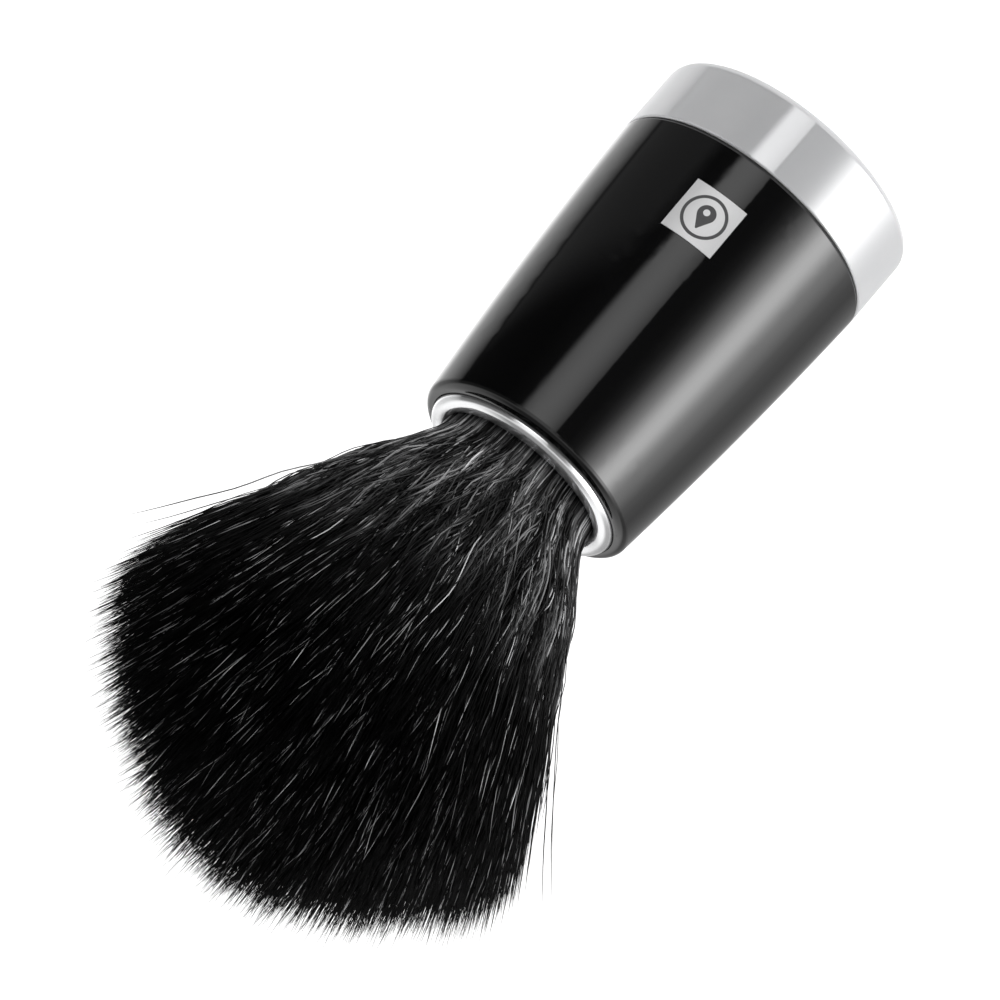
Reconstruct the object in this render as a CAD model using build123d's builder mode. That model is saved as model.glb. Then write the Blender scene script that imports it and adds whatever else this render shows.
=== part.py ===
from build123d import *

import os
from math import cos, radians, sin, sqrt

# A shaving brush standing on its base. The frame's origin is the centre of the face it stands
# on, +Z runs up the axis towards the bristle tips, and the badge faces -Y. Millimetres.
#
# One long screw clamps the handle together: its head sits in a well under the polished base
# cap, it passes up through the weight, and it pulls on the threaded boss of the knot cup, whose
# flange rests on a shelf inside the body's mouth. The bristles are set in resin in that cup and
# bend at their root, about X and then about Y: each bend is a ball of fibre in a seat of fibre.

# ---- driving dimensions -------------------------------------------------------------------
base_radius = 17.5        # base cap, outside
cap_rim = 9.7             # top edge of the base cap
seam_top = 10.0           # top of the thin seal between cap and body
mouth = 51.1              # plane of the body's mouth
mouth_radius = 14.5       # the body's outside there, before its lip is rounded
belly = 0.34              # how far the body's outline bows out from a straight taper
lip_round = 1.1
lip_inner_round = 0.12

knot_radius = 11.0        # bore that holds the bristles
bristle_tip = 110.2       # top of the bristle dome
fan_radius = 27.0         # widest point of the bristles
fan_widest = 87.8         # height of that point
dome_power = 1.27         # 1 makes the dome an ellipse, more makes it pointed

spigot_radius = 16.0      # lower end of the body, inside the base cap
pad_radius = 13.4
pad_proud = 0.3           # the pad lifts the cap's rim off the table
pad_thickness = 1.1
weight_radius = 12.9
slip = 0.1                # clearance between loose-fitting pieces
fit = 0.05                # clearance between close-fitting pieces
swing_gap = 0.3           # clearance between bristle pieces that turn in each other

badge_side = 7.1
badge_height = 19.0       # centre of the badge above the table
badge_proud = 0.05
badge_thickness = 0.4
tape_thickness = 0.1
mark_depth = 0.15

# M5 hardware
screw_radius = 2.5
head_radius = 4.75
head_height = 2.75
socket_width = 3.0
socket_depth = 1.6
flat_washer_inner = 2.7
flat_washer_outer = 5.0
flat_washer_thickness = 1.0
spring_washer_inner = 2.6
spring_washer_outer = 4.6
spring_washer_thickness = 1.2

# ---- base and weight ----------------------------------------------------------------------
cap_bore = spigot_radius + fit
cap_floor = pad_thickness + 1.5
well_radius = 5.4
well_wall = 1.4
well_ceiling = 6.4        # the screw's washers press here
boss_top = 8.0            # raised middle of the cap, where the weight rests
weight_bottom = cap_floor + 0.6
weight_top = 24.0
web_bottom = 25.5         # solid web across the body
web_top = 31.0

# ---- knot cup and collar ------------------------------------------------------------------
boss_radius = 5.0
cup_outer = 12.2
cup_bottom = web_top + 0.2
cup_floor = 33.2
screw_tip = 31.6
thread_end = screw_tip + 0.6
shelf = 48.9              # the body's shelf under the cup's flange
flange_radius = 13.1
flange_top = 49.9
gasket_top = 50.2
rim_radius = 11.45        # thin rim of the cup, which the collar is pressed over
rim_top = 51.0
counterbore = 13.2
collar_outer = 13.05
collar_bore = 10.55
collar_height = 1.3       # the collar's rounded bead stands this far above the mouth

# ---- bristles -----------------------------------------------------------------------------
plug_top = 41.0
cord_radius = 0.45
cord_turns = 4
bound_radius = knot_radius - 2 * cord_radius
binding_top = plug_top + 2 * cord_radius * cord_turns
root_radius = collar_bore - slip
root_top = 51.5
neck_ball = 10.2          # radius of the ball at the neck's lower end
neck_pivot = 55.3         # its centre, on the hinge about X
fan_pivot = 58.3          # centre of the neck's upper dome, on the hinge about Y
split_radius = 17.5       # the bristles' outline where neck and fan part
split_height = 66.5
neck_dome = sqrt(split_radius**2 + (split_height - fan_pivot) ** 2)

badge_plane = Plane(origin=(0, 0, badge_height), x_dir=(1, 0, 0), z_dir=(0, -1, 0))


def turned(*points):
    """Revolve a closed profile of (radius, height) points about the brush's axis."""
    with BuildSketch(Plane.XZ) as profile:
        with BuildLine():
            Polyline(*points, close=True)
        make_face()
    revolve(profile.sketch, axis=Axis.Z)


def tube(inner, outer, bottom, top):
    turned((inner, bottom), (outer, bottom), (outer, top), (inner, top))


def disc(radius, bottom, top):
    turned((0, bottom), (radius, bottom), (radius, top), (0, top))


def body_side(moved_out):
    """The body's gently bowed outside line, from the seam to the mouth."""
    middle_radius = (base_radius + mouth_radius) / 2 + belly
    return ThreePointArc(
        (base_radius + moved_out, seam_top),
        (middle_radius + moved_out, (seam_top + mouth) / 2),
        (mouth_radius + moved_out, mouth),
    )


def front_patch(outline, depth, height):
    """The piece behind an outline on the body's front of a layer that follows its surface.

    The layer reaches from depth under the surface to height above it."""
    with BuildPart() as patch:
        with BuildSketch(Plane.XZ):
            with BuildLine():
                inner = body_side(-depth)
                outer = body_side(height)
                Line(inner @ 0, outer @ 0)
                Line(inner @ 1, outer @ 1)
            make_face()
        revolve(axis=Axis.Z)
        extrude(badge_plane * outline, amount=base_radius + 1, mode=Mode.INTERSECT)
    return patch.part


def on_circle(centre_height, radius, degrees_off_axis):
    """A (radius, height) point on a circle centred on the brush's axis."""
    turn = radians(degrees_off_axis)
    return (radius * sin(turn), centre_height + radius * cos(turn))


def on_crown(degrees_up):
    """A (radius, height) point on the bristle dome, from its widest point up to its tip."""
    turn = radians(degrees_up)
    crown_height = bristle_tip - fan_widest
    return (fan_radius * cos(turn) ** dome_power, fan_widest + crown_height * sin(turn) ** dome_power)


def save(piece, name):
    piece.label = name
    export_step(piece, f"parts/{name}.step")


os.makedirs("parts", exist_ok=True)


# ---- base ---------------------------------------------------------------------------------
with BuildPart() as base_pad:
    disc(pad_radius, 0, pad_thickness)
    chamfer(base_pad.edges().sort_by(Axis.Z)[0], 0.25)
    with BuildSketch(Plane.XY):
        Circle(3)
        with PolarLocations(8.5, 8):
            Circle(1.5)
    extrude(amount=0.3, mode=Mode.SUBTRACT)
save(base_pad.part, "base_pad")

with BuildPart() as base_cap:
    turned(
        (pad_radius + slip, pad_proud),
        (base_radius, pad_proud),
        (base_radius, cap_rim),
        (cap_bore, cap_rim),
        (cap_bore, cap_floor),
        (well_radius + well_wall, cap_floor),
        (well_radius + well_wall, boss_top),
        (screw_radius + slip, boss_top),
        (screw_radius + slip, well_ceiling),
        (well_radius, well_ceiling),
        (well_radius, pad_thickness),
        (pad_radius + slip, pad_thickness),
    )
    wall_edges = base_cap.edges().filter_by(GeomType.CIRCLE)
    wall_edges = wall_edges.filter_by(lambda edge: abs(edge.radius - base_radius) < fit)
    fillet(wall_edges.sort_by(Axis.Z)[0], 0.9)
    fillet(wall_edges.sort_by(Axis.Z)[-1], 0.25)
save(base_cap.part, "base_cap")

with BuildPart() as cap_seal:
    tube(spigot_radius, base_radius - 0.25, cap_rim, seam_top)
save(cap_seal.part, "cap_seal")

with BuildPart() as balance_weight:
    well_clearance = well_radius + well_wall + slip
    turned(
        (screw_radius + 2 * slip, boss_top),
        (well_clearance, boss_top),
        (well_clearance, weight_bottom),
        (weight_radius, weight_bottom),
        (weight_radius, weight_top - 0.6),
        (weight_radius - 0.6, weight_top),
        (screw_radius + 2 * slip, weight_top),
    )
save(balance_weight.part, "balance_weight")

with BuildPart() as weight_cushion:
    tube(boss_radius + 0.6, weight_radius - 0.9, weight_top, web_bottom)
save(weight_cushion.part, "weight_cushion")


# ---- clamping screw and its washers -------------------------------------------------------
flat_washer_bottom = well_ceiling - flat_washer_thickness
spring_washer_bottom = flat_washer_bottom - spring_washer_thickness
head_bottom = spring_washer_bottom - head_height

with BuildPart() as flat_washer:
    tube(flat_washer_inner, flat_washer_outer, flat_washer_bottom, well_ceiling)
save(flat_washer.part, "flat_washer")

with BuildPart() as spring_washer:
    tube(spring_washer_inner, spring_washer_outer, spring_washer_bottom, flat_washer_bottom)
    with BuildSketch(Plane.XY.offset(spring_washer_bottom)):
        with Locations(((spring_washer_inner + spring_washer_outer) / 2, 0)):
            Rectangle(spring_washer_outer, 0.5)
    extrude(amount=spring_washer_thickness, mode=Mode.SUBTRACT)
save(spring_washer.part, "spring_washer")

with BuildPart() as tie_screw:
    disc(head_radius, head_bottom, spring_washer_bottom)
    fillet(tie_screw.edges().sort_by(Axis.Z)[0], 1.6)
    disc(screw_radius, spring_washer_bottom, screw_tip)
    chamfer(tie_screw.edges().sort_by(Axis.Z)[-1], 0.5)
    with BuildSketch(Plane.XY.offset(head_bottom)):
        RegularPolygon(socket_width / 2, 6, major_radius=False)
    extrude(amount=socket_depth, mode=Mode.SUBTRACT)
save(tie_screw.part, "tie_screw")


# ---- badge --------------------------------------------------------------------------------
with BuildSketch() as badge_square:
    Rectangle(badge_side, badge_side)

with BuildSketch() as badge_pocket:
    Rectangle(badge_side + slip, badge_side + slip)

# A plain sign: a water drop with a round highlight, inside a ring.
with BuildSketch() as drop:
    with Locations((0, -0.45)):
        Circle(1.15)
    with Locations((0, 1.6)):
        Circle(0.12)
    make_hull()
    with Locations((0.1, -0.6)):
        Circle(0.42, mode=Mode.SUBTRACT)

with BuildSketch() as sign:
    Circle(2.8)
    Circle(2.4, mode=Mode.SUBTRACT)
    add(drop.sketch)

plate_bottom = badge_thickness - badge_proud
mark_bottom = mark_depth - badge_proud

badge_tape = front_patch(badge_square.sketch, plate_bottom + tape_thickness, -plate_bottom)
save(badge_tape, "badge_tape")

badge_mark = front_patch(sign.sketch, mark_bottom, badge_proud)
save(badge_mark, "badge_mark")

with BuildPart() as badge_plate:
    add(front_patch(badge_square.sketch, plate_bottom, badge_proud))
    add(badge_mark, mode=Mode.SUBTRACT)
save(badge_plate.part, "badge_plate")


# ---- body ---------------------------------------------------------------------------------
with BuildPart() as handle_body:
    with BuildSketch(Plane.XZ) as body_profile:
        with BuildLine():
            side = body_side(0)
            Polyline(
                side @ 1,
                (counterbore, mouth),
                (counterbore, shelf),
                (cup_outer + fit, shelf),
                (cup_outer + fit, web_top),
                (boss_radius + slip, web_top),
                (boss_radius + slip, web_bottom),
                (weight_radius + slip, web_bottom),
                (weight_radius + slip, weight_bottom),
                (spigot_radius, weight_bottom),
                (spigot_radius, seam_top),
                side @ 0,
            )
        make_face()
        inner_lip, outer_lip = body_profile.vertices().group_by(Axis.Y)[-1].sort_by(Axis.X)
        fillet(outer_lip, lip_round)
        fillet(inner_lip, lip_inner_round)
        seam_corner = body_profile.vertices().group_by(Axis.X)[-1].sort_by(Axis.Y)[0]
        fillet(seam_corner, 0.2)
    revolve(axis=Axis.Z)
    pocket_depth = plate_bottom + tape_thickness
    add(front_patch(badge_pocket.sketch, pocket_depth, 1), mode=Mode.SUBTRACT)
save(handle_body.part, "handle_body")


# ---- knot cup, gasket and collar ----------------------------------------------------------
with BuildPart() as knot_cup:
    turned(
        (0, cup_floor),
        (knot_radius, cup_floor),
        (knot_radius, rim_top),
        (rim_radius, rim_top),
        (rim_radius, flange_top),
        (flange_radius, flange_top),
        (flange_radius, shelf),
        (cup_outer, shelf),
        (cup_outer, cup_bottom),
        (boss_radius, cup_bottom),
        (boss_radius, weight_top + 0.4),
        (screw_radius, weight_top + 0.4),
        (screw_radius, thread_end),
        (0, thread_end),
    )
save(knot_cup.part, "knot_cup")

with BuildPart() as collar_gasket:
    tube(rim_radius + fit, flange_radius - slip, flange_top, gasket_top)
save(collar_gasket.part, "collar_gasket")

with BuildPart() as mouth_collar:
    with BuildSketch(Plane.XZ):
        with BuildLine():
            bead = EllipticalCenterArc(
                ((collar_bore + collar_outer) / 2, mouth),
                (collar_outer - collar_bore) / 2,
                collar_height,
                start_angle=0,
                arc_size=180,
            )
            Polyline(
                bead @ 1,
                (collar_bore, rim_top),
                (rim_radius, rim_top),
                (rim_radius, gasket_top),
                (collar_outer, gasket_top),
                bead @ 0,
            )
        make_face()
    revolve(axis=Axis.Z)
save(mouth_collar.part, "mouth_collar")


# ---- knot: resin, binding cord and bristles -----------------------------------------------
with BuildPart() as resin_plug:
    disc(knot_radius, cup_floor, plug_top)
save(resin_plug.part, "resin_plug")

with BuildPart() as binding_cord:
    with BuildSketch(Plane.XZ):
        with Locations((bound_radius + cord_radius / 2, (plug_top + binding_top) / 2)):
            Rectangle(cord_radius, binding_top - plug_top)
        for turn in range(cord_turns):
            with Locations((bound_radius + cord_radius, plug_top + cord_radius * (2 * turn + 1))):
                Circle(cord_radius)
    revolve(axis=Axis.Z)
save(binding_cord.part, "binding_cord")

with BuildPart() as bristle_root:
    turned(
        (0, plug_top),
        (bound_radius, plug_top),
        (bound_radius, binding_top),
        (root_radius, binding_top + 1),
        (root_radius, root_top),
        (0, root_top),
    )
    with Locations((0, 0, neck_pivot)):
        Sphere(neck_ball + swing_gap, mode=Mode.SUBTRACT)
save(bristle_root.part, "bristle_root")

with BuildPart() as bristle_neck:
    with BuildSketch(Plane.XZ):
        with BuildLine():
            ball = ThreePointArc(
                on_circle(neck_pivot, neck_ball, 180),
                on_circle(neck_pivot, neck_ball, 135),
                on_circle(neck_pivot, neck_ball, 90),
            )
            flank = Spline(
                ball @ 1,
                (14.4, 61.4),
                (split_radius, split_height),
                tangents=[(2, 3), (4, 7)],
            )
            dome = ThreePointArc(
                flank @ 1,
                on_circle(fan_pivot, neck_dome, 30),
                (0, fan_pivot + neck_dome),
            )
            Line(dome @ 1, ball @ 0)
        make_face()
    revolve(axis=Axis.Z)
save(bristle_neck.part, "bristle_neck")

seat = neck_dome + swing_gap
rim_share = seat / neck_dome
seat_rim = (split_radius * rim_share, fan_pivot + (split_height - fan_pivot) * rim_share)
with BuildPart() as bristle_fan:
    with BuildSketch(Plane.XZ):
        with BuildLine():
            hollow = ThreePointArc((0, fan_pivot + seat), on_circle(fan_pivot, seat, 30), seat_rim)
            crown = [on_crown(turn) for turn in (0, 25, 45, 65)]
            outside = Spline(
                hollow @ 1,
                (22.9, 76.8),
                *crown,
                (0, bristle_tip),
                tangents=[(4, 7), (-1, 0)],
            )
            Line(outside @ 1, hollow @ 0)
        make_face()
    revolve(axis=Axis.Z)
save(bristle_fan.part, "bristle_fan")
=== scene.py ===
from math import cos, pi, radians, sin

import bpy
from mathutils import Matrix, Vector


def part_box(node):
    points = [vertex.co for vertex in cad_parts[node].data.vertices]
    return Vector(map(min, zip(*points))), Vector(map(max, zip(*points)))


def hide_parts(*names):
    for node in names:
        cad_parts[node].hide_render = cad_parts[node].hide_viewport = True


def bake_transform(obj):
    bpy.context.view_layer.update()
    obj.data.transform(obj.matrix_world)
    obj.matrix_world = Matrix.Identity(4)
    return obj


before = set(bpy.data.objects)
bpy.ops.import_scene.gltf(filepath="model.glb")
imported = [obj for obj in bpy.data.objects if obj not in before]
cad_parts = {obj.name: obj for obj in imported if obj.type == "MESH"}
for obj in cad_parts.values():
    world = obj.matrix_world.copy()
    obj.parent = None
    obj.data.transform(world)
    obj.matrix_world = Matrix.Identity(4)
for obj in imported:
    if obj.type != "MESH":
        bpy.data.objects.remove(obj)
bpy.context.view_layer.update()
MM = 0.001

# Heights and radii of the tuft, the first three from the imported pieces.
ROOT_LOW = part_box("mouth_collar")[1].z - 1.9 * MM  # the hairs start inside the collar
TUFT_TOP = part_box("bristle_fan")[1].z
FAN_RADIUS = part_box("bristle_fan")[1].x
SPLIT = 66.5 * MM  # the lower pieces end and the upper ones start here
# The two curves below are given to the nodes as shares of these lengths.
TUFT_LOW = 50.0 * MM
TUFT_SPAN = 65.0 * MM
WIDEST_SPAN = 42.0 * MM

# The tuft's outline: how far out its outermost hairs stand at each height, in mm. Above the
# dome's shoulder the line runs straight on, as the hairs' own direction does.
OUTLINE = [
    (50.0, 10.25), (51.4, 10.4), (52.8, 10.55), (54.5, 10.95), (56.3, 11.75), (58.8, 13.1),
    (61.4, 14.55), (66.5, 17.45), (71.6, 20.15), (76.8, 22.75), (81.9, 25.1), (115.0, 38.9),
]
# How high a hair's tip reaches, by how far out it grows: 0 is the axis, 1 the outermost ring.
TIP_HEIGHTS = [
    (0.0, 110.2), (0.124, 109.4), (0.297, 107.0), (0.489, 103.2), (0.682, 98.6), (0.851, 94.0),
    (0.93, 91.5), (0.965, 89.8), (1.0, 87.0),
]


# ---- node building ------------------------------------------------------------------------
class Reading:
    """A number on a socket. Ordinary arithmetic on it adds Math nodes to its tree."""

    def __init__(self, tree, socket):
        self.tree = tree
        self.socket = socket

    def __add__(self, other):
        return worked("ADD", self, other)

    def __sub__(self, other):
        return worked("SUBTRACT", self, other)

    def __rsub__(self, other):
        return worked("SUBTRACT", other, self)

    def __mul__(self, other):
        return worked("MULTIPLY", self, other)

    def __truediv__(self, other):
        return worked("DIVIDE", self, other)

    def __pow__(self, other):
        return worked("POWER", self, other)

    def __gt__(self, other):
        return worked("GREATER_THAN", self, other)

    __radd__ = __add__
    __rmul__ = __mul__

    def least(self, other):
        return worked("MINIMUM", self, other)

    def most(self, other):
        return worked("MAXIMUM", self, other)

    def floor(self):
        return worked("FLOOR", self)

    def sine(self):
        return worked("SINE", self)

    def cosine(self):
        return worked("COSINE", self)

    def eased(self, low, high):
        """0 below low, 1 above high and a smooth rise between them."""
        share = ((self - low) / (high - low)).most(0.0).least(1.0)
        return share * share * (3.0 - 2.0 * share)


def worked(operation, *terms):
    """The reading of one Math node, in the tree that its terms come from."""
    tree = next(term.tree for term in terms if isinstance(term, Reading))
    step = tree.nodes.new("ShaderNodeMath")
    step.operation = operation
    for place, term in zip(step.inputs, terms):
        put(tree, place, term)
    return Reading(tree, step.outputs[0])


def put(tree, socket, value):
    """Links a reading or a socket, or sets a plain value."""
    if isinstance(value, Reading):
        tree.links.new(value.socket, socket)
    elif isinstance(value, bpy.types.NodeSocket):
        tree.links.new(value, socket)
    else:
        socket.default_value = value


class Bench:
    """Adds nodes to one tree."""

    def __init__(self, tree):
        self.tree = tree
        tree.nodes.clear()

    def node(self, kind, settings=None, sockets=None):
        made = self.tree.nodes.new(kind)
        for name, value in (settings or {}).items():
            if name == "stops":
                set_stops(made.color_ramp, value)
            elif name == "points":
                set_points(made.mapping, value)
            else:
                setattr(made, name, value)
        for name, value in (sockets or {}).items():
            put(self.tree, made.inputs[name], value)
        return made

    def reading(self, kind, settings=None, sockets=None, out=0):
        return Reading(self.tree, self.node(kind, settings, sockets).outputs[out])


def set_stops(ramp, stops):
    while len(ramp.elements) > 1:
        ramp.elements.remove(ramp.elements[-1])
    for number, (place, grey) in enumerate(stops):
        stop = ramp.elements[0] if number == 0 else ramp.elements.new(place)
        stop.position = place
        stop.color = (grey, grey, grey, 1)


def set_points(mapping, points):
    curve = mapping.curves[0]
    while len(curve.points) < len(points):
        curve.points.new(0.5, 0.5)
    for point, (across, up) in zip(curve.points, points):
        point.location = (across, up)
    mapping.update()


# ---- finishes -----------------------------------------------------------------------------
class Finish:
    """One material: its bench, its shader and the readings that its patterns start from."""

    def __init__(self, name):
        self.material = bpy.data.materials.new(name)
        self.material.use_nodes = True
        self.bench = Bench(self.material.node_tree)
        self.output = self.bench.node("ShaderNodeOutputMaterial")
        self.place = self.bench.node("ShaderNodeTexCoord").outputs["Object"]
        parts = self.bench.node("ShaderNodeSeparateXYZ", None, {0: self.place})
        tree = self.material.node_tree
        self.x, self.y, self.z = (Reading(tree, socket) for socket in parts.outputs)

    def radius(self):
        return (self.x * self.x + self.y * self.y) ** 0.5

    def turn(self):
        return worked("ARCTAN2", self.y, self.x)

    def noise(self, scale, detail=2.0, roughness=0.5, vector=None):
        return self.bench.reading(
            "ShaderNodeTexNoise",
            None,
            {
                "Vector": vector or self.place,
                "Scale": scale,
                "Detail": detail,
                "Roughness": roughness,
            },
        )

    def along(self, x, y, z):
        return self.bench.node("ShaderNodeCombineXYZ", None, {0: x, 1: y, 2: z}).outputs[0]

    def tint(self, share, dark, light):
        """A colour between two, by a reading from 0 to 1."""
        mix = self.bench.node("ShaderNodeMix", {"data_type": "RGBA"})
        put(self.bench.tree, mix.inputs[0], share)
        mix.inputs[6].default_value = (*dark, 1)
        mix.inputs[7].default_value = (*light, 1)
        return mix.outputs[2]

    def relief(self, height, distance, strength=1.0):
        return self.bench.node(
            "ShaderNodeBump",
            None,
            {"Height": height, "Distance": distance, "Strength": strength},
        ).outputs[0]

    def skin(self, **sockets):
        """A shader whose named sockets are set or linked."""
        names = {name.replace("_", " "): value for name, value in sockets.items()}
        return self.bench.node("ShaderNodeBsdfPrincipled", None, names).outputs[0]

    def done(self, shader):
        self.bench.tree.links.new(shader, self.output.inputs["Surface"])
        return self.material


def gloss_black():
    """Deep black lacquer, polished, with the faintest handling haze."""
    finish = Finish("gloss_black_lacquer")
    haze = finish.noise(90.0, 4.0, 0.6)
    speck = finish.noise(2600.0, 2.0)
    colour = finish.tint(haze, (0.0009, 0.0009, 0.001), (0.0016, 0.0016, 0.0018))
    return finish.done(
        finish.skin(
            Base_Color=colour,
            Roughness=0.035 + 0.03 * haze + 0.01 * speck,
            IOR=1.5,
            Normal=finish.relief(speck, 0.4e-6),
        )
    )


def bright_chrome(name, veil_share, veil_roughness):
    """Polished chrome: a sharp mirror over the soft haze of its plating."""
    finish = Finish(name)
    smudge = finish.noise(120.0, 5.0, 0.6)
    hairline = finish.noise(1.0, 2.0, 0.5, finish.along(finish.turn() * 5.0, 0.0, finish.z * 9000))
    colour = finish.tint(smudge, (0.86, 0.865, 0.875), (0.93, 0.93, 0.935))
    mirror = finish.skin(
        Base_Color=colour,
        Metallic=1.0,
        Roughness=0.02 + 0.05 * smudge,
        Normal=finish.relief(hairline, 0.15e-6),
    )
    veil = finish.skin(
        Base_Color=colour,
        Metallic=1.0,
        Roughness=veil_roughness + 0.1 * smudge,
        Normal=finish.relief(hairline, 0.6e-6),
    )
    mix = finish.bench.node("ShaderNodeMixShader", None, {0: veil_share, 1: mirror, 2: veil})
    return finish.done(mix.outputs[0])


def turned_metal(name, dark, light, pitch, roughness):
    """Lathe-turned metal: fine concentric tool lines on its faces and sides."""
    finish = Finish(name)
    line = ((finish.radius() + finish.z) * (2 * pi / pitch)).sine() * 0.5 + 0.5
    grain = finish.noise(700.0, 3.0, 0.6)
    height = line * 0.7 + grain * 0.3
    return finish.done(
        finish.skin(
            Base_Color=finish.tint(grain * 0.7 + line * 0.3, dark, light),
            Metallic=1.0,
            Roughness=roughness + 0.12 * grain,
            Normal=finish.relief(height, 6e-6),
        )
    )


def moulded_rubber():
    """Matt black rubber with a fine moulded grain and a little dust in it."""
    finish = Finish("black_rubber")
    grain = finish.noise(2200.0, 3.0, 0.6)
    dust = finish.noise(260.0, 5.0, 0.7).eased(0.55, 0.8)
    colour = finish.tint(dust, (0.012, 0.012, 0.0125), (0.03, 0.03, 0.031))
    return finish.done(
        finish.skin(
            Base_Color=colour,
            Roughness=0.62 + 0.2 * grain,
            Normal=finish.relief(grain, 25e-6),
        )
    )


def foam_tape():
    """Pale double-sided tape with an open fibre."""
    finish = Finish("adhesive_tape")
    fibre = finish.noise(1500.0, 4.0, 0.7)
    return finish.done(
        finish.skin(
            Base_Color=finish.tint(fibre, (0.62, 0.6, 0.54), (0.8, 0.79, 0.74)),
            Roughness=0.6 + 0.3 * fibre,
            Normal=finish.relief(fibre, 12e-6),
        )
    )


def brushed_badge():
    """Satin nickel plate, brushed along its height."""
    finish = Finish("badge_nickel")
    lines = finish.along(finish.x * 16000, finish.y * 900, finish.z * 700)
    brushed = finish.noise(1.0, 3.0, 0.6, lines)
    clouds = finish.noise(300.0, 2.0)
    colour = finish.tint(brushed * 0.6 + clouds * 0.4, (0.6, 0.6, 0.605), (0.74, 0.74, 0.745))
    return finish.done(
        finish.skin(
            Base_Color=colour,
            Metallic=0.85,
            Roughness=0.42 + 0.12 * brushed,
            Normal=finish.relief(brushed, 1.5e-6),
        )
    )


def badge_enamel():
    """Dark grey enamel in the plate's cut sign."""
    finish = Finish("badge_enamel")
    grain = finish.noise(3000.0, 3.0, 0.6)
    return finish.done(
        finish.skin(
            Base_Color=finish.tint(grain, (0.045, 0.045, 0.047), (0.068, 0.068, 0.07)),
            Roughness=0.5 + 0.15 * grain,
            Normal=finish.relief(grain, 3e-6),
        )
    )


def cast_resin():
    """Amber casting resin with small bubbles and soaked fibre ends."""
    finish = Finish("knot_resin")
    bubbles = finish.noise(1400.0, 2.0).eased(0.6, 0.72)
    cloud = finish.noise(260.0, 4.0, 0.6)
    return finish.done(
        finish.skin(
            Base_Color=finish.tint(cloud, (0.10, 0.045, 0.012), (0.26, 0.13, 0.04)),
            Roughness=0.16 + 0.2 * cloud,
            Normal=finish.relief(bubbles, 30e-6),
        )
    )


def twisted_cord():
    """Black waxed thread, laid up of twisted yarns."""
    finish = Finish("binding_thread")
    yarn = (finish.turn() * 160.0 + finish.z * 9000.0).sine() * 0.5 + 0.5
    fuzz = finish.noise(4000.0, 3.0, 0.7)
    return finish.done(
        finish.skin(
            Base_Color=finish.tint(yarn, (0.01, 0.01, 0.011), (0.05, 0.048, 0.046)),
            Roughness=0.55 + 0.25 * fuzz,
            Normal=finish.relief(yarn * 0.7 + fuzz * 0.3, 60e-6),
        )
    )


def black_hair():
    """Dyed black hair. Most of it is nearly black; a few hairs carry a painted glint, a lighter
    colour along a stretch, and hairs near the neck a painted lighter sheen.
    """
    finish = Finish("black_bristle")
    bench = finish.bench
    own = {
        name: bench.reading("ShaderNodeAttribute", {"attribute_name": name}, None, 2)
        for name in ("hair", "tone")
    }
    neck = 1.0 - finish.z.eased(58.0 * MM, 82.0 * MM)
    stretch = finish.noise(1.0, 1.0, 0.5, finish.along(own["hair"] * 431.0, 0.0, finish.z * 130.0))
    wisp = finish.noise(1.0, 1.0, 0.5, finish.along(own["hair"] * 177.0, 7.0, finish.z * 60.0))
    lock = finish.noise(1.0, 2.0, 0.6, finish.along(finish.turn() * 7.0, 2.0, finish.z * 45.0))
    # Painted glints: a lighter colour along a stretch of a few hairs, standing in for the light
    # that they catch.
    painted_glints = stretch.eased(0.5, 0.6) * own["tone"]
    # Painted sheen: hairs near the neck are painted a lighter grey in patches, standing in for the
    # light that the wavy hairs catch there.
    neck_sheen = (0.35 + 0.65 * wisp.eased(0.4, 0.6)) * (0.12 + 0.88 * lock.eased(0.42, 0.6))
    neck_sheen = neck_sheen * neck * (0.05 + 0.8 * own["hair"] ** 2.5)
    scale = finish.noise(1.0, 3.0, 0.6, finish.along(own["hair"] * 97.0, 3.0, finish.z * 2500.0))
    colour = finish.tint(painted_glints.most(neck_sheen), (0.0008, 0.0008, 0.0009), (0.8, 0.8, 0.81))
    return finish.done(
        finish.skin(
            Base_Color=colour,
            Roughness=0.4 + 0.14 * scale,
            IOR=1.4,
            Specular_IOR_Level=0.12,
            Normal=finish.relief(scale, 4e-6),
        )
    )


def hair_shadow():
    """Painted shade for the tuft's inside: near black, with the direction of its hairs."""
    finish = Finish("bristle_painted_shade")
    strand = finish.noise(1.0, 4.0, 0.7, finish.along(finish.turn() * 46.0, 0.0, finish.z * 160.0))
    colour = finish.tint(strand.eased(0.4, 0.8), (0.0015, 0.0015, 0.0016), (0.008, 0.008, 0.0085))
    return finish.done(
        finish.skin(
            Base_Color=colour,
            Roughness=0.75 + 0.15 * strand,
            Specular_IOR_Level=0.1,
            Normal=finish.relief(strand, 300e-6),
        )
    )


STEEL = turned_metal("turned_steel", (0.42, 0.42, 0.43), (0.58, 0.58, 0.6), 0.12 * MM, 0.26)
ALUMINIUM = turned_metal("turned_aluminium", (0.68, 0.69, 0.7), (0.84, 0.84, 0.85), 0.2 * MM, 0.3)
RUBBER = moulded_rubber()
NODE_FINISH = {
    "handle_body": gloss_black(),
    "base_cap": bright_chrome("polished_chrome", 0.78, 0.95),
    "mouth_collar": bright_chrome("collar_chrome", 0.28, 0.4),
    "balance_weight": STEEL,
    "flat_washer": STEEL,
    "spring_washer": STEEL,
    "tie_screw": STEEL,
    "knot_cup": ALUMINIUM,
    "base_pad": RUBBER,
    "cap_seal": RUBBER,
    "weight_cushion": RUBBER,
    "collar_gasket": RUBBER,
    "badge_tape": foam_tape(),
    "badge_plate": brushed_badge(),
    "badge_mark": badge_enamel(),
    "resin_plug": cast_resin(),
    "binding_cord": twisted_cord(),
}
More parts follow.
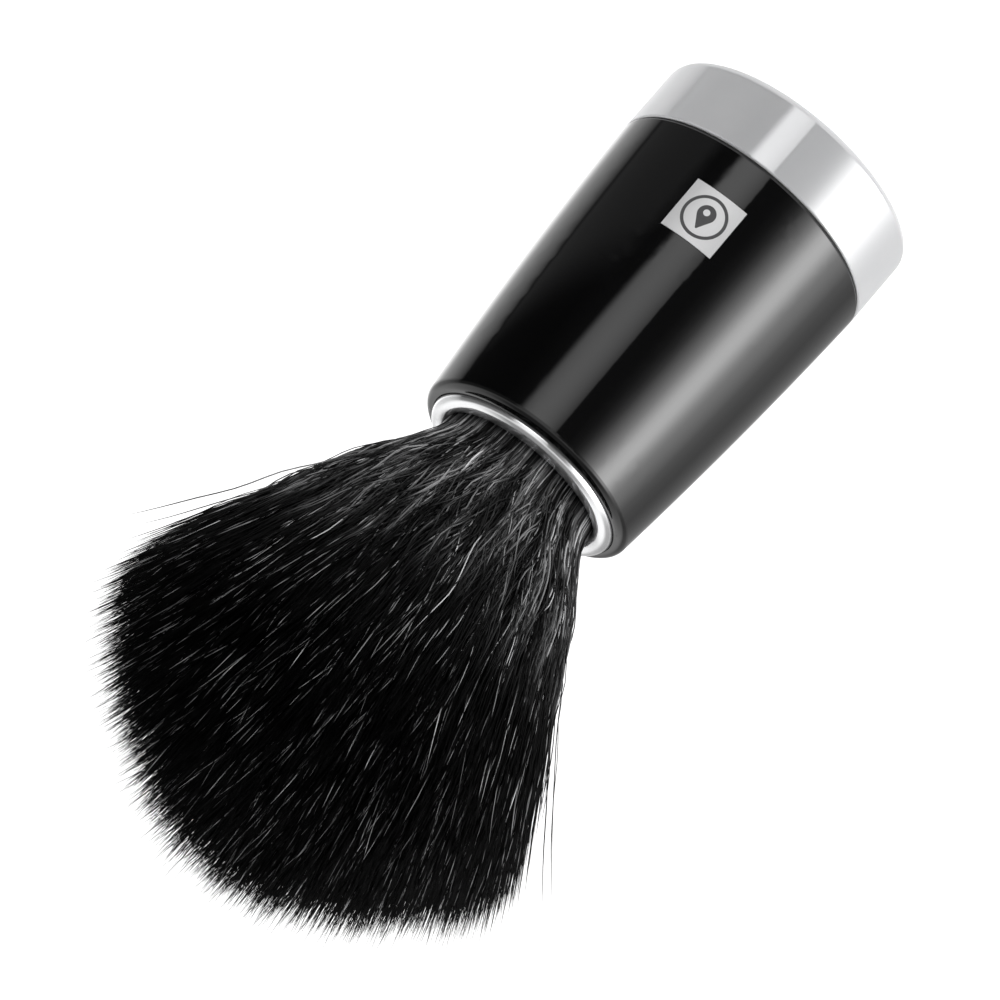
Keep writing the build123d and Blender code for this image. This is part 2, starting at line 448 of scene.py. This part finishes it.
for node_name, finish_material in NODE_FINISH.items():
    node_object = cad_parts[node_name]
    if not node_object.material_slots:
        node_object.data.materials.append(finish_material)
    for material_slot in node_object.material_slots:
        material_slot.material = finish_material

HAIR = black_hair()
HAIR_SHADE = hair_shadow()


# ---- bristles -----------------------------------------------------------------------------
HELD = 52.5 * MM  # the collar holds the hairs still up to here
FREE = 60.0 * MM  # and from here they wave freely
CALM_FROM = 62.0 * MM  # the waves die down between these two
CALM_TO = 86.0 * MM
WAVES = 120.0  # how fast a wave changes along a hair, per metre
FAN_START = 54.0 * MM  # hairs veer off their line from here
FAN_RISE = 34.0 * MM
MEETING = 3.0 * MM  # lower and upper lengths of different hairs meet over this height
LOCK_TIPS = 2.2 * MM  # how much the tips of different locks differ
HAIR_TIPS = 3.4 * MM  # how much the tips of hairs in a lock differ
GATHERING = 16.0 * MM  # hairs gather into locks over this length below their tips
CURL = 22.0 * MM  # and curl over this length
CURL_REACH = 3.4 * MM
LEAN = -1.7 * MM  # how far the tuft's top stands aside


def height_share(height_mm):
    """A height as the hair curves take it, from 0 to 1."""
    return (height_mm * MM - TUFT_LOW) / TUFT_SPAN


def hair_tree():
    """Geometry nodes that grow one layer of hairs.

    Each hair is a three-sided rod that follows the tuft's outline, scaled to how far out it
    grows, from its lowest height up to its tip, thinning to a point."""
    tree = bpy.data.node_groups.new("hair_layer", "GeometryNodeTree")
    bench = Bench(tree)
    whole = {"Hairs", "Rings", "Seed"}
    names = (
        "Hairs", "Rings", "Seed", "Innermost", "Outermost", "Evenness", "Lowest", "Highest",
        "Length", "Thickness", "Point", "Shortest", "Overgrowth", "Wave", "Splay", "Locks",
        "Glints",
    )
    for name in names:
        kind = "NodeSocketInt" if name in whole else "NodeSocketFloat"
        tree.interface.new_socket(name, in_out="INPUT", socket_type=kind)
    tree.interface.new_socket("Finish", in_out="INPUT", socket_type="NodeSocketMaterial")
    tree.interface.new_socket("Tuft", in_out="OUTPUT", socket_type="NodeSocketGeometry")
    given = {s.name: Reading(tree, s) for s in bench.node("NodeGroupInput").outputs if s.name}

    def chance(number):
        """A random number from 0 to 1 for each hair."""
        return bench.reading(
            "FunctionNodeRandomValue",
            {"data_type": "FLOAT"},
            {"Seed": given["Seed"] * 31.0 + float(number)},
            1,
        )

    points = bench.node("GeometryNodePoints", None, {"Count": given["Hairs"]}).outputs[0]
    place = chance(1) ** given["Evenness"]
    reach = given["Innermost"] + (given["Outermost"] - given["Innermost"]) * place
    own = {
        "turn": chance(2) * (2 * pi),
        "reach": reach,
        "hair": chance(3),
        "short": chance(4),
        # How strong each hair's painted glint is; most hairs have none.
        "tone": (chance(5) > 1.0 - given["Glints"]) * (0.15 + 0.85 * chance(6)),
        "drift": chance(7) - 0.5,
        "splay": chance(8),
        "veer": chance(9) - 0.5,
    }
    for name, value in own.items():
        store = bench.node(
            "GeometryNodeStoreNamedAttribute",
            {"data_type": "FLOAT", "domain": "POINT"},
            {"Geometry": points, "Name": name},
        )
        put(tree, store.inputs["Value"], value)
        points = store.outputs[0]

    bare = bench.node(
        "GeometryNodeMeshCylinder",
        {"fill_type": "NGON"},
        {"Vertices": 3, "Side Segments": given["Rings"], "Radius": 1.0, "Depth": 1.0},
    )
    flat = bench.node(
        "GeometryNodeSetShadeSmooth", None, {"Geometry": bare.outputs[0], "Shade Smooth": False}
    )
    rod = bench.node(
        "GeometryNodeSetShadeSmooth",
        None,
        {"Geometry": flat.outputs[0], "Selection": bare.outputs["Side"]},
    ).outputs[0]
    grown = bench.node("GeometryNodeInstanceOnPoints", None, {"Points": points, "Instance": rod})
    loose = bench.node("GeometryNodeRealizeInstances", None, {"Geometry": grown.outputs[0]})

    mine = {}
    for name in own:
        mine[name] = bench.reading(
            "GeometryNodeInputNamedAttribute", {"data_type": "FLOAT"}, {"Name": name}
        )
    local = bench.node("ShaderNodeSeparateXYZ")
    put(tree, local.inputs[0], bench.node("GeometryNodeInputPosition").outputs[0])
    side_out, side_round, along = (Reading(tree, socket) for socket in local.outputs)

    def curve(value, points, low, high):
        share = bench.reading("ShaderNodeFloatCurve", {"points": points}, {"Value": value})
        return low + (high - low) * share

    def tangle(x, y, z, out=0):
        """Noise about 0, from -0.5 to 0.5, for one of three independent directions."""
        where = bench.node("ShaderNodeCombineXYZ", None, {0: x, 1: y, 2: z}).outputs[0]
        settled = {"Vector": where, "Scale": 1.0, "Detail": 0.0}
        noise = bench.node("ShaderNodeTexNoise", None, settled)
        parts = bench.node("ShaderNodeSeparateXYZ", None, {0: noise.outputs[1]})
        return Reading(tree, parts.outputs[out]) - 0.5

    tip_points = [(share, height_share(height)) for share, height in TIP_HEIGHTS]
    full = curve(mine["reach"].least(1.0), tip_points, TUFT_LOW, TUFT_LOW + TUFT_SPAN)
    loose_turn = mine["turn"] + mine["drift"] * 0.05
    lock_row = (mine["reach"] * 9.0 + mine["drift"]).floor()
    lock_count = (lock_row * 9.0).most(7.0)
    lock_number = (loose_turn * lock_count / (2 * pi)).floor()
    lock_key = bench.node("ShaderNodeCombineXYZ", None, {0: lock_row, 1: lock_number, 2: 4.0})
    lock = bench.node("ShaderNodeTexWhiteNoise", None, {"Vector": lock_key.outputs[0]})
    lock_parts = bench.node("ShaderNodeSeparateXYZ", None, {0: lock.outputs[1]})
    lock_chance = [Reading(tree, socket) - 0.5 for socket in lock_parts.outputs]
    lock_turn = (lock_number + 0.5 + lock_chance[0] * 0.5) * (2 * pi) / lock_count
    tip = full + given["Overgrowth"] + lock_chance[1] * LOCK_TIPS + mine["drift"] * HAIR_TIPS
    tip = tip - given["Shortest"] * mine["short"] * mine["short"]
    # The lower and upper lengths of each hair meet at its own height, so no line shows.
    meeting = mine["hair"] * MEETING
    low = given["Lowest"] + meeting * (given["Lowest"] > FREE)
    low = low.most(tip - given["Length"])
    high = (given["Highest"] + meeting).least(tip)
    height = low + (high - low) * (along + 0.5)

    outline_points = [(height_share(h), r * MM / WIDEST_SPAN) for h, r in OUTLINE]
    outline = curve((height - TUFT_LOW) / TUFT_SPAN, outline_points, 0.0, WIDEST_SPAN)
    free = height.eased(HELD, FREE)
    calm = 1.0 - height.eased(CALM_FROM, CALM_TO) * 0.85
    stir = given["Wave"] * free * calm
    ripple = mine["hair"] * 613.0
    sway_out = tangle(ripple, 0.0, height * WAVES, 0) * stir
    sway_round = tangle(ripple, 9.0, height * WAVES, 1) * stir * 1.5
    risen = ((height - FAN_START) / FAN_RISE).most(0.0)
    out = outline * mine["reach"] + sway_out + given["Splay"] * mine["splay"] * risen * risen
    gathered = ((height - (tip - GATHERING)) / GATHERING).most(0.0).least(1.0) * given["Locks"]
    own_turn = mine["turn"] + mine["drift"] * 0.34 * risen.least(1.4)
    turn = own_turn + (lock_turn - own_turn) * gathered
    fine = ((tip - height) / given["Point"]).most(0.0).least(1.0) ** 0.7
    thick = given["Thickness"] * (0.06 + 0.94 * fine) * (0.7 + 0.6 * mine["hair"])
    thick = thick * (1.35 - 0.35 * height.eased(56.0 * MM, 78.0 * MM))
    end_share = ((height - (tip - CURL)) / CURL).most(0.0).least(1.0)
    bend = end_share * end_share * CURL_REACH
    cosine = turn.cosine()
    sine = turn.sine()
    radial = out + side_out * thick + bend * (mine["splay"] - 0.5)
    tangent = sway_round + side_round * thick + bend * mine["veer"] * 1.3
    lean = height.eased(58.0 * MM, 108.0 * MM) * LEAN
    moved = bench.node(
        "ShaderNodeCombineXYZ",
        None,
        {
            0: radial * cosine - tangent * sine + lean * ASIDE.x,
            1: radial * sine + tangent * cosine + lean * ASIDE.y,
            2: height,
        },
    ).outputs[0]
    placed = bench.node(
        "GeometryNodeSetPosition", None, {"Geometry": loose.outputs[0], "Position": moved}
    )
    dressed = bench.node(
        "GeometryNodeSetMaterial",
        None,
        {"Geometry": placed.outputs[0], "Material": given["Finish"]},
    )
    end = bench.node("NodeGroupOutput")
    tree.links.new(dressed.outputs[0], end.inputs["Tuft"])
    return tree


def grow(name, tree, **sizes):
    """Runs the hair tree once and keeps the result as a plain mesh."""
    carrier = bpy.data.objects.new(name + "_roots", bpy.data.meshes.new(name + "_roots"))
    bpy.context.scene.collection.objects.link(carrier)
    grower = carrier.modifiers.new("hairs", "NODES")
    grower.node_group = tree
    identifiers = {
        item.name: item.identifier
        for item in tree.interface.items_tree
        if item.in_out == "INPUT"
    }
    for label, value in sizes.items():
        grower[identifiers[label]] = value
    bpy.context.view_layer.update()
    ready = carrier.evaluated_get(bpy.context.evaluated_depsgraph_get())
    mesh = bpy.data.meshes.new_from_object(ready)
    carrier.modifiers.remove(grower)
    bpy.data.objects.remove(carrier)
    for spare in ("turn", "reach", "short", "drift", "splay", "veer"):
        if spare in mesh.attributes:
            mesh.attributes.remove(mesh.attributes[spare])
    mesh.name = name
    piece = bpy.data.objects.new(name, mesh)
    bpy.context.scene.collection.objects.link(piece)
    return piece


def bend_low(piece):
    """Bakes a lower piece's transform into its mesh; it does not bend it."""
    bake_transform(piece)


def bend_high(piece):
    """Bakes an upper piece's transform into its mesh; it does not bend it."""
    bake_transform(piece)


def read_curve(points, at):
    """A value read off a line through points."""
    for (low, low_value), (high, high_value) in zip(points, points[1:]):
        if at <= high:
            return low_value + (high_value - low_value) * (at - low) / (high - low)
    return points[-1][1]


def shade_form(name, low, high, inset):
    """Painted shade for the tuft's inside between two heights: a dark, ridged closed form inset
    from the hairs, standing for the inner hairs and the shade between them.
    """
    sides = 180
    rows = 44
    snug = 0.15 * MM  # its distance from the outline inside the collar
    shoulder = 84.0 * MM  # it closes in from here to its top
    points = []
    faces = []
    heights = [low + (high - low) * row / rows for row in range(rows + 1)]
    for height in heights:
        outline = read_curve(OUTLINE, height / MM) * MM
        room = (TUFT_TOP - inset * 1.4 - height) / (TUFT_TOP - shoulder)
        crown = min(1.0, max(0.0, room)) ** 0.62 * (FAN_RADIUS - inset)
        free = min(1.0, max(0.0, (height - 53 * MM) / (8 * MM)))
        middle = min(outline - (snug + (inset - snug) * free), crown)
        for side in range(sides):
            turn = 2 * pi * side / sides
            ridge = sin(turn * 31 + height * 160) * 0.5 + sin(turn * 53 - height * 210 + 1.3) * 0.5
            out = max(0.02 * MM, middle * (1 + 0.018 * ridge * free))
            points.append((out * cos(turn), out * sin(turn), height))
    for row in range(rows):
        for side in range(sides):
            here = row * sides + side
            right = row * sides + (side + 1) % sides
            faces.append((here, right, right + sides, here + sides))
    faces.append(tuple(reversed(range(sides))))
    faces.append(tuple(range(rows * sides, (rows + 1) * sides)))
    mesh = bpy.data.meshes.new(name)
    mesh.from_pydata(points, [], faces)
    mesh.materials.append(HAIR_SHADE)
    for face in mesh.polygons:
        face.use_smooth = len(face.vertices) == 4
    piece = bpy.data.objects.new(name, mesh)
    bpy.context.scene.collection.objects.link(piece)
    return piece


# Where the camera stands, seen from above: a turn about the brush's axis from facing its front.
CAMERA_TURN = radians(-11.75)
CAMERA_RISE = radians(20.25)
CAMERA_ROLL = radians(130.82)
CAMERA_DISTANCE = 0.9226
CAMERA_LENS = 288
AIM_HEIGHT = 0.0554
TOWARDS = Vector((sin(CAMERA_TURN), -cos(CAMERA_TURN), 0))
ASIDE = Vector((cos(CAMERA_TURN), sin(CAMERA_TURN), 0))

TREE = hair_tree()
# What the hair layers have in common. The length and the highest end are limits beyond reach.
SHARED = {
    "Lowest": ROOT_LOW,
    "Highest": 1.0,
    "Length": 1.0,
    "Thickness": 0.08 * MM,
    "Overgrowth": 2.9 * MM,
    "Wave": 3.6 * MM,
    "Splay": 0.0,
    "Locks": 0.55,
    "Finish": HAIR,
}

# Two layers along the flank and the strays beside it, each in a lower and an upper piece.
FLANK = {**SHARED, "Evenness": 0.8, "Point": 7.0 * MM, "Shortest": 7.0 * MM}
LAYERS = {
    "outer": {"Hairs": 2600, "Seed": 3, "Innermost": 0.965, "Outermost": 1.0, "Glints": 0.2},
    "under": {"Hairs": 2600, "Seed": 5, "Innermost": 0.9, "Outermost": 0.965, "Glints": 0.12},
    "stray": {
        "Hairs": 40, "Seed": 8, "Innermost": 0.99, "Outermost": 1.02, "Glints": 0.0,
        "Splay": 3.2 * MM,
    },
}
lower_pieces = []
upper_pieces = []
for layer, own_sizes in LAYERS.items():
    sizes = {**FLANK, **own_sizes}
    low_sizes = {**sizes, "Rings": 12, "Highest": SPLIT}
    high_sizes = {**sizes, "Rings": 10, "Lowest": SPLIT}
    lower_pieces.append(grow(f"bristle_{layer}_lower", TREE, **low_sizes))
    upper_pieces.append(grow(f"bristle_{layer}_upper", TREE, **high_sizes))

# The crown's hairs, from the axis out to the flank; only their upper ends can be seen.
CROWN = {
    **SHARED,
    "Hairs": 5200,
    "Rings": 5,
    "Innermost": 0.0,
    "Outermost": 0.97,
    "Evenness": 0.5,
    "Lowest": SPLIT,
    "Length": 18.0 * MM,
    "Point": 7.0 * MM,
    "Shortest": 3.0 * MM,
    "Glints": 0.12,
}
for number in range(3):
    upper_pieces.append(grow(f"bristle_crown_{number + 1}", TREE, **CROWN, Seed=20 + number))

# A near-black form inside the hairs stands for the inner hairs and is painted shade for the dark
# between them.
SHADE_INSET = 1.3 * MM
SHADE_TOP = TUFT_TOP - 4.5 * MM
lower_pieces.append(shade_form("bristle_shade_lower", ROOT_LOW, SPLIT, SHADE_INSET))
upper_pieces.append(shade_form("bristle_shade_upper", SPLIT, SHADE_TOP, SHADE_INSET))
for piece in lower_pieces:
    bend_low(piece)
for piece in upper_pieces:
    bend_high(piece)
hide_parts("bristle_root", "bristle_neck")
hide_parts("bristle_fan")


# ---- studio -------------------------------------------------------------------------------
def studio_floor():
    """A plain white table top, seen only from above."""
    half = 3.0
    low = -0.02 * MM  # just under the brush's foot, so that the two don't share a plane
    mesh = bpy.data.meshes.new("studio_floor")
    corners = [(-half, -half, low), (half, -half, low), (half, half, low), (-half, half, low)]
    mesh.from_pydata(corners, [], [(0, 1, 2, 3)])
    finish = Finish("studio_white")
    grain = finish.noise(40.0, 2.0)
    top = finish.skin(
        Base_Color=finish.tint(grain, (0.8, 0.8, 0.8), (0.82, 0.82, 0.82)),
        Roughness=0.9,
        Specular_IOR_Level=0.0,
        Emission_Color=(1, 1, 1, 1),
        Emission_Strength=0.6,
    )
    under = finish.bench.node("ShaderNodeBsdfTransparent").outputs[0]
    from_below = finish.bench.node("ShaderNodeNewGeometry").outputs["Backfacing"]
    sides = finish.bench.node("ShaderNodeMixShader", None, {0: from_below, 1: top, 2: under})
    mesh.materials.append(finish.done(sides.outputs[0]))
    floor = bpy.data.objects.new("studio_floor", mesh)
    bpy.context.scene.collection.objects.link(floor)
    floor.visible_glossy = False


# The softboxes and flags round the table, by the compass turn from the camera: degrees, light.
STUDIO_RING = [
    (-180, 1.0), (-170, 0.6), (-158, 0.4), (-148, 0.46), (-120, 0.5),
    (-110, 0.75), (-100, 1.2), (-90, 2.3), (-80, 3.5), (-75, 4.8), (-70, 7.0), (-65, 9.2),
    (-60, 9.8), (-55, 8.9), (-50, 6.6), (-45, 4.3), (-40, 2.8), (-35, 1.7), (-30, 0.8),
    (-25, 0.34), (-20, 0.15), (-12, 0.07), (0, 0.07), (44, 0.05), (60, 0.02), (112, 0.03),
    (115, 0.4), (122, 0.75), (131, 1.05), (145, 1.15), (162, 1.75), (180, 1.0),
]
BRIGHTEST = 9.8


def studio_light():
    """Light from all round, by its compass turn from the camera and by how high it comes from.

    Softboxes stand where the upright sides mirror them, with a table below and a ceiling above."""
    world = bpy.data.worlds.new("studio")
    bpy.context.scene.world = world
    world.use_nodes = True
    bench = Bench(world.node_tree)
    way = bench.node("ShaderNodeTexCoord").outputs["Generated"]

    def facing(vector):
        return bench.reading(
            "ShaderNodeVectorMath", {"operation": "DOT_PRODUCT"}, {0: way, 1: vector}, 1
        )

    aside = facing(ASIDE)
    towards = facing(TOWARDS)
    rise = bench.reading("ShaderNodeSeparateXYZ", None, {0: way}, 2)
    turn = worked("ARCTAN2", aside, towards) * (180 / pi)
    stops = [((degrees + 180) / 360, light / BRIGHTEST) for degrees, light in STUDIO_RING]
    ring = bench.reading("ShaderNodeValToRGB", {"stops": stops}, {0: turn / 360.0 + 0.5})
    ring = ring * BRIGHTEST

    # A strip light with one sharp edge, which leans: its sides shift with the height.
    mirrored = rise + 0.342  # 0 at the height that the handle's side mirrors to the camera
    left_edge = 4.6 - 16.0 * mirrored
    right_edge = 31.0 + 54.0 * mirrored
    strip = (turn - left_edge).eased(-0.6, 0.6) * (1.0 - (turn - right_edge).eased(-5.0, 3.0))
    off_middle = (turn - 22.0) / 17.0
    strip = strip * (2.0 - 0.96 * off_middle * off_middle).most(0.0)

    # A faint low glow on the dark side.
    glow = (turn.eased(44.0, 60.0) - turn.eased(108.0, 114.0)) * 0.2
    boxes = ring + glow * (1.0 - rise.eased(-0.29, -0.24)) + strip

    # The boxes fade upwards, and the ceiling is darker on the camera's side.
    table = 1.0 - rise.eased(-0.54, -0.4)
    above = rise.eased(0.22, 0.46)
    middle = (boxes + rise.eased(-0.14, 0.0) * (0.12 - 0.5 * boxes)) * (1.0 - table - above)
    camera_side = 1.0 - worked("ABSOLUTE", turn).eased(50.0, 110.0)
    ceiling = 1.17 - 0.9 * rise.eased(0.3, 0.6) * camera_side
    light = middle + 1.15 * table + ceiling * above

    # The backdrop itself is plain white to the camera.
    to_camera = bench.reading("ShaderNodeLightPath")
    strength = light * (1.0 - to_camera) + to_camera
    sky = bench.node(
        "ShaderNodeBackground", None, {"Color": (1, 1, 1, 1), "Strength": strength}
    )
    out = bench.node("ShaderNodeOutputWorld")
    bench.tree.links.new(sky.outputs[0], out.inputs["Surface"])


def studio_camera():
    """Looks down on the brush from its front, turned so that the brush hangs slanting."""
    camera_data = bpy.data.cameras.new("camera")
    camera_data.lens = CAMERA_LENS
    camera_data.sensor_width = 36
    camera_data.clip_start = 0.05
    camera_data.clip_end = 20
    camera = bpy.data.objects.new("camera", camera_data)
    bpy.context.scene.collection.objects.link(camera)
    upright = Vector((0, 0, 1))
    forward = -TOWARDS * cos(CAMERA_RISE) - upright * sin(CAMERA_RISE)
    up = -TOWARDS * sin(CAMERA_RISE) + upright * cos(CAMERA_RISE)
    across = -sin(CAMERA_ROLL) * ASIDE + cos(CAMERA_ROLL) * up
    over = -(cos(CAMERA_ROLL) * ASIDE + sin(CAMERA_ROLL) * up)
    turned = Matrix((across, over, -forward)).transposed().to_4x4()
    turned.translation = Vector((0, 0, AIM_HEIGHT)) - forward * CAMERA_DISTANCE
    camera.matrix_world = turned
    bpy.context.scene.camera = camera


studio_floor()
studio_light()
studio_camera()
bpy.context.scene.view_settings.view_transform = "Standard"
